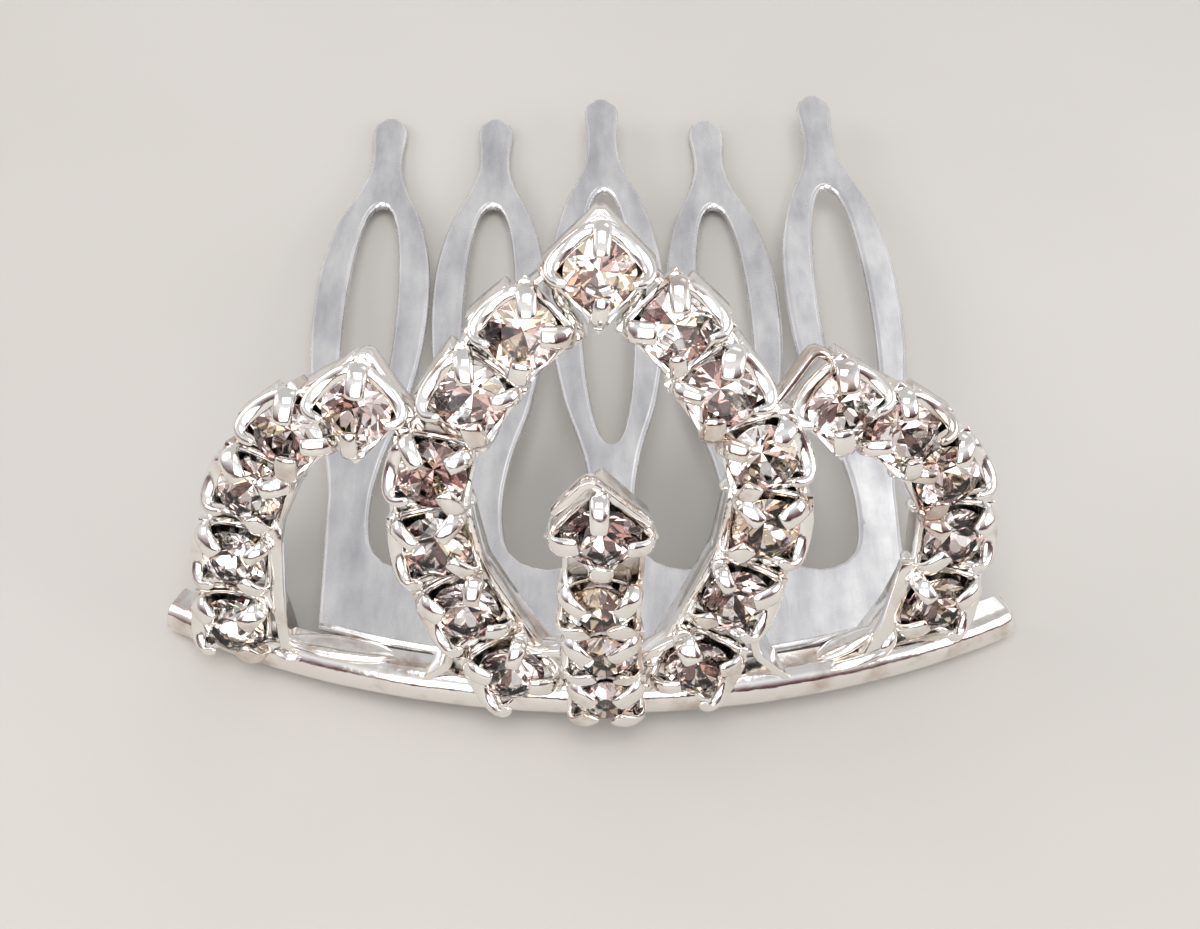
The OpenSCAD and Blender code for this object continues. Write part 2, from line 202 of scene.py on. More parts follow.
@dataclass(frozen=True)
class StoneChain:
    """A hand-bent chain of cups, from its foot upwards.

    steps holds (step to the next stone, heading of the step); heading 90 is straight up and less
    turns towards the tiara's middle.
    """

    name: str
    side: Side
    foot: Spot
    steps: tuple[Spot, ...]
    last_heading: float

    def along(self, heading: float) -> Vector:
        """Unit direction of a heading on the face."""
        angle = radians(heading)
        return Vector((-self.side.value * cos(angle), sin(angle)))

    def outward(self, heading: float) -> Vector:
        """Unit direction away from the arch's opening for a cup with that heading."""
        angle = radians(heading)
        return Vector((self.side.value * sin(angle), cos(angle)))

    def place(self, i: int) -> Vector:
        """Across and up of stone i."""
        spot = Vector(self.foot)
        for step, heading in self.steps[:i]:
            spot += self.along(heading) * step
        return spot

    def heading(self, i: int) -> float:
        """Heading of cup i, half way between the steps before and after it."""
        headings = [heading for _, heading in self.steps] + [self.last_heading]
        return (headings[max(i - 1, 0)] + headings[i]) / 2

    def pose(self, i: int) -> Matrix:
        """Frame of cup i."""
        heading = self.heading(i)
        return FACE.pose(self.place(i), heading - 90 if self.side is Side.LEFT else 90 - heading)

    def corner(self, i: int, end: int, flank: Flank) -> Vector:
        """Place of the ribbon's middle at a corner of cup i; end is 1 for upper, -1 for lower."""
        heading = self.heading(i)
        reach = CUP.half + RIBBON_THICKNESS / 2 - (0.32 if flank is Flank.OUTER else 0.2)
        return (self.place(i) + self.along(heading) * end * CUP.half
                + self.outward(heading) * flank.value * reach)

    def flank(self, first: int, last: int, flank: Flank) -> list[Vector]:
        """Path of the ribbon along one flank of the cups from first to last."""
        return [self.corner(first, -1, flank),
                *((self.corner(i, 1, flank) + self.corner(i + 1, -1, flank)) / 2
                  for i in range(first, last)),
                self.corner(last, 1, flank)]


PEAK = Vector((-0.2, 24.3))
ARCH_LEFT = StoneChain(
    "arch_left", Side.LEFT, (-4.3, 2.6),
    ((4.4, 123), (4.0, 115), (4.0, 95), (4.5, 66), (4.2, 52)), 36)
ARCH_RIGHT = StoneChain(
    "arch_right", Side.RIGHT, (5.1, 2.9),
    ((4.6, 115), (4.3, 112), (3.9, 89), (4.1, 58), (4.1, 54)), 36)
SIDE_LEFT = StoneChain(
    "side_left", Side.LEFT, (-19.4, 2.2),
    ((4.4, 91), (4.5, 81), (4.1, 61), (4.2, 28)), 62)
SIDE_RIGHT = StoneChain(
    "side_right", Side.RIGHT, (18.3, 4.3),
    ((4.1, 105), (3.8, 85), (3.8, 50), (4.1, 30)), 60)
CHAINS = (ARCH_LEFT, ARCH_RIGHT, SIDE_LEFT, SIDE_RIGHT)


@dataclass(frozen=True)
class Post:
    """The short middle post: three cups and a diamond cup at the top, numbered from the top."""

    pitch: float = 4.15
    lean: float = -2.0
    tip_lean: float = 13.0
    tip_drop: float = 0.35
    forward: float = 1.5
    foot_height: float = 4.35
    drift: Row = (0.0, 0.0, 0.25, 0.5)

    def pose(self, number: int) -> Matrix:
        """Frame of a cup of the post, in mm.

        Args:
            number: number of the cup, 1 at the top.

        Returns:
            The frame.
        """
        top = number == 1
        along = 2 * self.pitch if top else (4 - number) * self.pitch
        tip = CUP.half * (1 + sqrt(2)) - self.tip_drop if top else 0.0
        lean, bend = radians(self.lean), radians(self.tip_lean - 2)
        place = Vector((
            self.drift[number - 1],
            -self.forward + along * sin(lean) + tip * sin(bend) - FACE.origin_shift,
            self.foot_height + along * cos(lean) + tip * cos(bend)))
        return (moved(place) @ turned(90 - (self.tip_lean if top else self.lean), "X")
                @ turned(45 if top else 0, "Z"))


POST = Post()


def cup_poses() -> dict[str, Matrix]:
    """Frames of all cups in mm, by the name of the stone's node."""
    poses = {"stone_peak": FACE.pose(PEAK, 45)}
    for chain in CHAINS:
        count = len(chain.steps) + 1
        poses |= {f"stone_{chain.name}_{count - i}": chain.pose(i) for i in range(count)}
    return poses | {f"stone_post_{number}": POST.pose(number) for number in range(1, 5)}


CUP_POSES = cup_poses()


def outer_sides(name: str) -> tuple[tuple[Side, int], ...]:
    """Sides of a stone's cup that carry an outer wall and a bent rim, with their turns.

    Args:
        name: name of the stone's node.

    Returns:
        The sides, each with its turn in degrees.
    """
    if name in ("stone_peak", "stone_side_right_1"):
        return (Side.RIGHT, 0), (Side.LEFT, -90)
    if name == "stone_side_left_1":
        return (Side.LEFT, 0), (Side.RIGHT, 90)
    return () if "post" in name else ((Side.LEFT if "left" in name else Side.RIGHT, 0),)


# Workbench


def mode(name: str) -> None:
    """Goes to edit mode or back to object mode."""
    bpy.ops.object.mode_set(mode=name)


def take(piece: Piece) -> None:
    """Makes a piece the only selected and active object."""
    bpy.ops.object.select_all(action="DESELECT")
    piece.select_set(True)
    bpy.context.view_layer.objects.active = piece


def added(name: str) -> Piece:
    """Names the primitive that was just added and returns it."""
    piece = bpy.context.object
    piece.name = name
    piece.data.name = name
    return piece


def linked(name: str, data: bpy.types.ID) -> Piece:
    """Lays a mesh, curve, light or camera on the bench as an object."""
    piece = bpy.data.objects.new(name, data)
    bpy.context.collection.objects.link(piece)
    return piece


def pick(piece: Piece, parts: str, test: Callable[[Any], bool]) -> None:
    """Selects, in edit mode, those of a piece's faces or edges that pass a test.

    Args:
        piece: the piece.
        parts: "faces" or "edges".
        test: says whether a part is selected.
    """
    bpy.ops.mesh.select_all(action="DESELECT")
    mesh = bmesh.from_edit_mesh(piece.data)
    for part in getattr(mesh, parts):
        part.select = test(part)
    mesh.select_flush_mode()
    bmesh.update_edit_mesh(piece.data)


def recalculate(piece: Piece, merge: float = 0.0005) -> None:
    """Merges the points of a closed piece nearer than merge mm and turns its faces outwards.

    Args:
        piece: the piece.
        merge: distance in mm.
    """
    take(piece)
    mode("EDIT")
    bpy.ops.mesh.select_all(action="SELECT")
    bpy.ops.mesh.remove_doubles(threshold=merge)
    bpy.ops.mesh.normals_make_consistent(inside=False)
    mode("OBJECT")


def drawn_bar(name: str, rings: Sequence[Ring]) -> Piece:
    """Draws a section out through its stations with the extrude operator.

    Args:
        name: name of the piece.
        rings: the section's points at each station, in mm.

    Returns:
        The closed bar.
    """
    bpy.ops.mesh.primitive_circle_add(vertices=len(rings[0]), fill_type="NGON")
    piece = added(name)
    mode("EDIT")
    mesh = bmesh.from_edit_mesh(piece.data)
    for point, target in zip(mesh.verts, rings[0]):
        point.co = target
    bmesh.update_edit_mesh(piece.data)
    for last, following in zip(rings, rings[1:]):
        bpy.ops.mesh.extrude_region_move(TRANSFORM_OT_translate={"value": (0, 0, 0)})
        mesh = bmesh.from_edit_mesh(piece.data)
        for point in [v for v in mesh.verts if v.select]:
            nearest = min(range(len(last)), key=lambda k: (point.co - last[k]).length_squared)
            point.co = following[nearest]
        bmesh.update_edit_mesh(piece.data)
    mode("OBJECT")
    recalculate(piece)
    return piece


def modify(piece: Piece, kind: str, **settings: object) -> None:
    """Adds a modifier of a kind with its settings to a piece and applies it.

    Args:
        piece: the piece.
        kind: type of the modifier.
        **settings: its properties.
    """
    take(piece)
    modifier = piece.modifiers.new(kind.title(), kind)
    for key, value in settings.items():
        setattr(modifier, key, value)
    bpy.ops.object.modifier_apply(modifier=modifier.name)


def bevel(piece: Piece, width: float, angle: float) -> None:
    """Rounds a piece's edges that are sharper than angle degrees by width mm."""
    modify(piece, "BEVEL", width=width, segments=2, limit_method="ANGLE",
           angle_limit=radians(angle), harden_normals=False)


def smooth(piece: Piece, angle: float) -> None:
    """Shades a piece smooth across edges flatter than angle degrees."""
    take(piece)
    bpy.ops.object.shade_smooth_by_angle(angle=radians(angle))


def carve(body: Piece) -> None:
    """Cuts the primitive that was just added out of a piece."""
    tool = added("cutter")
    bpy.ops.object.transform_apply(location=True, rotation=True, scale=True)
    modify(body, "BOOLEAN", operation="DIFFERENCE", object=tool, solver="EXACT")
    bpy.data.objects.remove(tool)


def copied(model: Piece, name: str, pose: Matrix) -> Piece:
    """Copies a piece with its own mesh and moves the mesh to its place.

    Args:
        model: the piece to copy.
        name: name of the copy.
        pose: its place.

    Returns:
        The copy.
    """
    piece = linked(name, model.data.copy())
    piece.data.name = name
    piece.data.transform(pose)
    return piece


def joined(pieces: Sequence[Piece], name: str) -> Piece:
    """Joins pieces that lie at the origin into one.

    Args:
        pieces: the pieces.
        name: name of the whole.

    Returns:
        The whole.
    """
    take(pieces[0])
    for piece in pieces:
        piece.select_set(True)
    bpy.ops.object.join()
    return added(name)


def finished(piece: Piece, node: str, slot: str, *finishes: Material) -> None:
    """Lays on finishes, turns a piece to metres, ties it to the root, hides its node's part and
    reports it.

    Args:
        piece: the piece, in mm.
        node: name of the node.
        slot: not used.
        *finishes: its materials.
    """
    for finish in finishes:
        piece.data.materials.append(finish)
    piece.data.transform(Matrix.Scale(MM, 4))
    piece.data.update()
    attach(piece, "root")
    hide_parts(node)
    log.info("%s: %d faces", piece.name, len(piece.data.polygons))


# Finishes


def linear(code: str) -> tuple[float, float, float, float]:
    """Turns an sRGB hex colour to linear values with alpha."""
    parts = [int(code[i:i + 2], 16) / 255 for i in (0, 2, 4)]
    red, green, blue = (c / 12.92 if c <= 0.04045 else ((c + 0.055) / 1.055) ** 2.4 for c in parts)
    return (red, green, blue, 1.0)


def add_node(tree: Tree, kind: str, inputs: dict[str | int, object],
             **settings: object) -> bpy.types.Node:
    """Adds one node with its settings and links.

    Args:
        tree: the node tree.
        kind: the node's type.
        inputs: values or output sockets for its input sockets.
        **settings: its properties.

    Returns:
        The node.
    """
    node = tree.nodes.new(kind)
    for key, value in settings.items():
        setattr(node, key, value)
    for key, value in inputs.items():
        if isinstance(value, bpy.types.NodeSocket):
            tree.links.new(value, node.inputs[key])
        else:
            node.inputs[key].default_value = value
    return node


def new_material(name: str) -> tuple[Material, Tree]:
    """Starts an empty node material."""
    material = bpy.data.materials.new(name)
    material.use_nodes = True
    material.node_tree.nodes.clear()
    return material, material.node_tree


def surface(tree: Tree, inputs: dict[str, object]) -> None:
    """Ends a material with one principled shader that has these inputs."""
    shader = add_node(tree, "ShaderNodeBsdfPrincipled", inputs)
    add_node(tree, "ShaderNodeOutputMaterial", {"Surface": shader.outputs["BSDF"]})


def noise_at(tree: Tree, size_mm: float, detail: float,
             stretch: Place = (1.0, 1.0, 1.0)) -> Socket:
    """Noise in object space with features of a real size.

    Args:
        tree: the node tree.
        size_mm: size of the features.
        detail: octaves.
        stretch: how many times longer the features are along each axis.

    Returns:
        The noise's value.
    """
    coordinates = add_node(tree, "ShaderNodeTexCoord", {})
    mapping = add_node(tree, "ShaderNodeMapping", {
        "Vector": coordinates.outputs["Object"], "Scale": tuple(1 / s for s in stretch)})
    noise = add_node(tree, "ShaderNodeTexNoise", {
        "Vector": mapping.outputs["Vector"], "Scale": 1 / (size_mm * MM), "Detail": detail,
        "Roughness": 0.55})
    return noise.outputs["Fac"]


def mapped(tree: Tree, value: Socket, span: Spot, to: Spot = (0, 1)) -> Socket:
    """Maps a span of a value to another one, clamped."""
    node = add_node(tree, "ShaderNodeMapRange", {
        "Value": value, "From Min": span[0], "From Max": span[1],
        "To Min": to[0], "To Max": to[1]}, clamp=True)
    return node.outputs["Result"]


def blended(tree: Tree, value: Socket, span: Spot, first: str, second: str) -> Socket:
    """Colour that goes from one sRGB hex colour to another over a span of a value."""
    ramp = add_node(tree, "ShaderNodeValToRGB", {"Fac": mapped(tree, value, span)})
    ramp.color_ramp.elements[0].color = linear(first)
    ramp.color_ramp.elements[1].color = linear(second)
    return ramp.outputs["Color"]


def relief(tree: Tree, height: Socket, strength: float, depth_mm: float,
           **below: Socket) -> Socket:
    """Normal of a relief, over the one that is given as Normal."""
    node = add_node(tree, "ShaderNodeBump", {
        "Strength": strength, "Distance": depth_mm * MM, "Height": height, **below})
    return node.outputs["Normal"]


@dataclass(frozen=True)
class SilverPlate:
    """Silver plate with the marks of its making; a noise is its size in mm, detail and stretch."""

    name: str
    clean: str
    stain: str
    patches: Noise
    patch_span: Spot
    wear: Noise
    wear_span: Spot
    rough: Spot
    waves: Noise
    wave_relief: float
    grain: Noise
    grain_relief: float

    def build(self) -> Material:
        """Builds the finish: stained patches, worn patches, slow waves and a fine grain.

        Returns:
            The material.
        """
        material, tree = new_material(self.name)
        waves = relief(tree, noise_at(tree, *self.waves), self.wave_relief, 0.12)
        surface(tree, {
            "Base Color": blended(tree, noise_at(tree, *self.patches), self.patch_span,
                                  self.clean, self.stain),
            "Metallic": 1.0,
            "Roughness": mapped(tree, noise_at(tree, *self.wear), self.wear_span, self.rough),
            "Normal": relief(tree, noise_at(tree, *self.grain), self.grain_relief, 0.02,
                             Normal=waves)})
        return material


# Polished plate over brass throws hard bright and dark shapes. Waves of about a millimetre break
# them up as on bent wire, and a warm stain gives the brown tones between the glints.
BRIGHT_PLATE = SilverPlate(
    "bright silver plate", "F3F0EC", "C6B2A5", (2.6, 4), (0.52, 0.72), (0.9, 5), (0.35, 0.75),
    (0.07, 0.2), waves=(1.3, 2), wave_relief=0.35, grain=(0.22, 3), grain_relief=0.25)
# Tumbled plate on steel sheet mirrors softly. Clouds and fine streaks run along the teeth.
CLOUDY_PLATE = SilverPlate(
    "cloudy silver plate on sheet", "F8F8F8", "C8C8CC", (1.7, 4, (1.0, 3.5, 1.0)), (0.35, 0.75),
    (1.8, 4), (0.3, 0.7), (0.19, 0.34), waves=(2.6, 1), wave_relief=0.25,
    grain=(0.35, 3, (1.0, 14.0, 1.0)), grain_relief=0.15)


@dataclass(frozen=True)
class CutCrystal:
    """Pressed and polished lead-free crystal glass."""

    tint: str = "FFFAF6"
    ior: float = 1.56

    def build(self) -> Material:
        """Builds the finish: clear glass, so that the foil's facets show through the crown."""
        material, tree = new_material("cut crystal glass")
        surface(tree, {"Base Color": linear(self.tint), "Roughness": 0.0, "IOR": self.ior,
                       "Transmission Weight": 1.0})
        return material


@dataclass(frozen=True)
class MirrorFoil:
    """Mirror coat baked on a stone's pavilion. Its silver tint is the coat's own colour; the other
    tints are painted fire, for the colours that dispersion gives, and painted shade, for dark
    reflections.
    """

    tint: FoilAndPaintedLightTint

    def build(self) -> Material:
        """Builds the finish: a smooth mirror that doubles every ray that enters the crown."""
        material, tree = new_material(f"mirror foil {self.tint.name.lower()}")
        surface(tree, {"Base Color": linear(self.tint.value), "Metallic": 1.0, "Roughness": 0.06})
        return material


@dataclass(frozen=True)
class PaleTabletop:
    """Matt painted tabletop."""

    light: str = "C3C0BC"
    shade: str = "BEBBB6"

    def build(self) -> Material:
        """Builds the finish: matt paint with a very faint mottle."""
        material, tree = new_material("pale matt paint")
        colour = blended(tree, noise_at(tree, 60, 3), (0.35, 0.65), self.light, self.shade)
        surface(tree, {"Base Color": colour, "Roughness": 0.7, "Specular IOR Level": 0.3})
        return material


# Pieces


@dataclass
class Band:
    """The half-round bar, bent to a curve, its left end cut flat and its right end rounded."""

    stations: int = 88
    end_flat: float = 0.3
    end_round: float = 0.5
    chamfer: float = 0.86
    ripple: float = 0.012
    cut_grow: float = 0.94
    tip_grow: float = 0.68
    round_parts: Row = (0.35, 0.62, 0.82, 0.95, 1.0)

    def section(self, across: float, grow: float) -> list[Vector]:
        """Section of the bar at a station, round in front and flat behind.

        Args:
            across: the station's place along the band's curve.
            grow: its share of the bar's full size.

        Returns:
            The points, in mm.
        """
        ripple = 1 + self.ripple * sin(across * 1.9 + 0.6) * sin(across * 0.53)
        high = FACE.band_height / 2 * grow
        deep = FACE.band_depth / 2 * grow * ripple
        outline = [(deep * cos(radians(a)), high * sin(radians(a))) for a in range(-90, 91, 15)]
        outline += [(-deep * self.chamfer, high), (-deep, high * self.chamfer),
                    (-deep, -high * self.chamfer), (-deep * self.chamfer, -high)]
        turn = radians(FACE.turn(across))
        return [Vector(((FACE.band_radius + out) * sin(turn),
                        FACE.band_radius - (FACE.band_radius + out) * cos(turn)
                        - FACE.origin_shift,
                        FACE.band_middle(across) + up)) for out, up in outline]

    def build(self) -> Piece:
        """Builds the bar.

        Returns:
            The closed bar.
        """
        half = FACE.band_length / 2
        run = FACE.band_length - self.end_round - self.end_flat
        places = [(-half, self.cut_grow), (-half + 0.07, 1.0)]
        places += [(-half + self.end_flat + run * i / self.stations, 1.0)
                   for i in range(1, self.stations + 1)]
        places += [(half - self.end_round + self.end_round * part,
                    self.tip_grow + (1 - self.tip_grow) * sqrt(1 - part ** 2))
                   for part in self.round_parts]
        bar = drawn_bar("band_bar", [self.section(*place) for place in places])
        smooth(bar, 40)
        return bar


@dataclass
class Ribbons:
    """Ribbons of drawn strip that stand on edge round the cups and fold into pointed roofs."""

    post_thickness: float = 0.27
    # middle and lower end of the post's two ribbons
    post_sides: tuple[Spot, ...] = ((-1.895, -2.2), (1.635, -5.35))
    reach: float = CUP.half + RIBBON_THICKNESS / 2 - 0.2
    spacing: float = 0.9
    ease: float = 0.42
    edge: float = 0.09
    flare: float = 3.0
    right_roof_turn: float = 9.0
    # first points of the side arches' inner ribbons, and how far their folds slip
    left_feet: tuple[Spot, ...] = ((-16.2, 0.8), (-17.0, 3.4))
    left_slip: float = 0.1
    right_feet: tuple[Spot, ...] = ((13.4, 0.9), (15.8, 4.0))
    right_slip: float = 0.8
    seed: int = 4
    # path on the face, front, back, thickness
    bridges: tuple[tuple[tuple[Spot, ...], float, float, float], ...] = (
        (((20.0, 0.8), (20.3, 5.0)), -0.9, -2.6, 0.42),
        (((-1.8, 4.0), (-2.9, 3.85), (-3.5, 4.1), (-4.1, 4.4)), -0.1, -1.3, 0.5),
        (((2.1, 3.5), (3.3, 4.3), (4.1, 4.72), (4.7, 4.8), (5.3, 3.4)), -0.1, -1.3, 0.5),
        (((-17.2, 9.0), (-16.95, 5.5), (-16.75, 3.4), (-16.3, 0.9)), -0.32, -0.8, 0.7),
        (((16.7, 7.2), (15.6, 3.6), (14.4, 1.3)), -0.32, -0.85, 0.95),
    )

    def eased(self, path: Sequence[Vector], backs: Sequence[float]) -> list[tuple[Vector, float]]:
        """Rounds the bends of a path and adds points along its straight runs.

        Args:
            path: corner points on the face.
            backs: place of the back edge at each point.

        Returns:
            Points with their back edge's place.
        """
        rows = [(path[0], backs[0])]
        for before, here, after, back in zip(path, path[1:], path[2:], backs[1:]):
            arm = min(self.ease, (here - before).length * 0.4, (after - here).length * 0.4)
            start = here + (before - here).normalized() * arm
            end = here + (after - here).normalized() * arm
            rows += [(start.lerp(here, part).lerp(here.lerp(end, part), part), back)
                     for part in (0.0, 0.33, 0.67, 1.0)]
        rows.append((path[-1], backs[-1]))
        dense = [rows[0]]
        for (a, back_a), (b, back_b) in zip(rows, rows[1:]):
            count = max(1, round((b - a).length / self.spacing))
            parts = [i / count for i in range(1, count + 1)]
            dense += [(a.lerp(b, part), back_a + (back_b - back_a) * part) for part in parts]
        return dense

    def edged(self, rings: Sequence[Ring]) -> Piece:
        """Draws a ribbon through its sections and rounds its edges."""
        ribbon = drawn_bar("ribbon", rings)
        bevel(ribbon, self.edge, 50)
        return ribbon

    def strip(self, path: Sequence[Spot | Vector], front: float = RIBBON_FRONT,
              back: float | Sequence[float] = OUTER_BACK, thickness: float = RIBBON_SHEET,
              placed: Callable[[float, float, float], Vector] = FACE.point) -> Piece:
        """Draws one ribbon along a path on the face.

        Args:
            path: corner points on the face.
            front: place of the front edge.
            back: place of the back edge, or one place for each point.
            thickness: its thickness.
            placed: turns across, up and out to a place.

        Returns:
            The ribbon.
        """
        backs = [back] * len(path) if isinstance(back, float) else back
        rows = self.eased([Vector(p) for p in path], backs)
        rings = []
        for i, (spot, rear) in enumerate(rows):
            ahead = rows[min(i + 1, len(rows) - 1)][0] - spot
            behind = spot - rows[max(i - 1, 0)][0]
            runs = [run.normalized() for run in (behind, ahead) if run.length > 1e-6]
            across = (runs[0] + runs[-1]).orthogonal().normalized()
            across *= thickness / 2 / max(0.5, across.dot(runs[0].orthogonal()))
            rings.append([placed(*(spot + across * sign), out) for sign, out in
                          ((1, rear), (-1, rear), (-1, front), (1, front))])
        return self.edged(rings)

    def plank(self, pose: Matrix, low: Place, high: Place) -> Piece:
        """Draws a short straight ribbon along Y between two corners in a cup's frame."""
        (left, lower, back), (right, upper, front) = low, high
        outline = ((left, back), (right, back), (right, front), (left, front))
        return self.edged([[pose @ Vector((x, lower + (upper - lower) * i / 6, z))
                            for x, z in outline] for i in range(7)])

    def centre_arch(self) -> list[Piece]:
        """Outer ribbon of the centre arch with its roof and tabs, and the two inner ribbons.

        Returns:
            The ribbons.
        """
        left = ARCH_LEFT.flank(1, 5, Flank.OUTER)[:-1]
        right = ARCH_RIGHT.flank(1, 5, Flank.OUTER)[:-1]
        high = self.reach * sqrt(2)
        roof = [PEAK + Vector(p) for p in ((-3.3, high - 3.3), (0, high), (3.3, high - 3.3))]
        return [
            self.strip([(-9.0, 0.9), (-7.6, 2.2), *left, *roof, *reversed(right),
                        (8.3, 2.9), (10.0, 1.0)]),
            self.strip(ARCH_LEFT.flank(0, 2, Flank.INNER), back=INNER_BACK),
            self.strip(ARCH_RIGHT.flank(0, 2, Flank.INNER), back=INNER_BACK)]

    def side_arch(self, chain: StoneChain, feet: Sequence[Spot], slip: float) -> list[Piece]:
        """Outer ribbon of a side arch with its roof, and the inner ribbon with its foot.

        Args:
            chain: the arch's chain of cups.
            feet: the inner ribbon's first points, on the band.
            slip: how far the fold lies from the cup's corner towards the middle.

        Returns:
            The two ribbons.
        """
        top = len(chain.steps)
        heading = chain.heading(top)
        fold = (chain.place(top) + chain.along(heading) * (self.reach + slip)
                + chain.outward(heading) * (self.reach - slip))
        down = fold - chain.outward(heading) * (2 * self.reach - slip + 1.0)
        flank = chain.flank(0, top, Flank.OUTER)[:-1]
        backs = [OUTER_BACK] * len(flank) + [ROOF_BACK] * 2
        return [self.strip([*flank, fold, down], back=backs),
                self.strip([*feet, *chain.flank(1, 2, Flank.INNER)], back=INNER_BACK)]

    def post(self) -> list[Piece]:
        """Ribbons on both sides of the post and the folded roof over its diamond cup.

        Returns:
            The ribbons.
        """
        half, upper = self.post_thickness / 2, POST.pitch + CUP.half + 1.9
        level = POST.pose(1) @ turned(-45, "Z")
        return [self.plank(POST.pose(3), (middle - half, lower, INNER_BACK),
                           (middle + half, upper, RIBBON_FRONT))
                for middle, lower in self.post_sides] + [
            self.strip([(-2.2, 1.2), (-0.6, 3.08), (2.2, 0.55)], -0.1, -0.85,
                       placed=lambda x, y, z: level @ Vector((x, y, z)))]

    def cup_walls(self) -> list[Piece]:
        """Outer walls of the cups, each bent on its own, so that they step like shingles.

        Returns:
            The walls.
        """
        chance = random.Random(self.seed)
        half, thick = CUP.half, RIBBON_SHEET
        pieces = []
        for name, pose in CUP_POSES.items():
            peak, arch, top = name == "stone_peak", "arch" in name, name.endswith("_1")
            sides = () if "post" in name else outer_sides(name)
            for side, turn in sides if peak else sides[:1]:
                skew = chance.uniform(0.6, 2.4)
                if peak:
                    flare, deep, short, skew = 0.4, 1.8, 0.05, 0.0
                elif arch:
                    flare, deep, short = 1.0, 1.8, 1.1 if top else 0.55
                else:
                    flare, deep, short, skew = 0.4, 1.2, 0.3 if top else 1.1, skew * (not top)
                middle = side.value * (half - 0.22 + thick / 2)
                hinge = moved((middle, half - 0.3, RIBBON_FRONT))
                extra = self.right_roof_turn if name == "stone_side_right_1" else 0.0
                frame = (pose @ turned(turn + extra, "Z") @ hinge
                         @ turned(side.value * skew, "Z")
                         @ turned(-side.value * self.flare * flare, "Y") @ hinge.inverted())
                pieces.append(self.plank(
                    frame, (middle - thick / 2, -half + 0.45, RIBBON_FRONT - deep),
                    (middle + thick / 2, half - short, RIBBON_FRONT + 0.14)))
        return pieces

    def build(self) -> Piece:
        """Builds all ribbons, bridges and straps as one piece.

        Returns:
            The ribbons.
        """
        strips = self.centre_arch()
        strips += self.side_arch(SIDE_LEFT, self.left_feet, self.left_slip)
        strips += self.side_arch(SIDE_RIGHT, self.right_feet, self.right_slip)
        strips += self.post() + self.cup_walls()
        strips += [self.strip(*bridge) for bridge in self.bridges]
        piece = joined(strips, "strip_ribbons")
        smooth(piece, 40)
        return piece


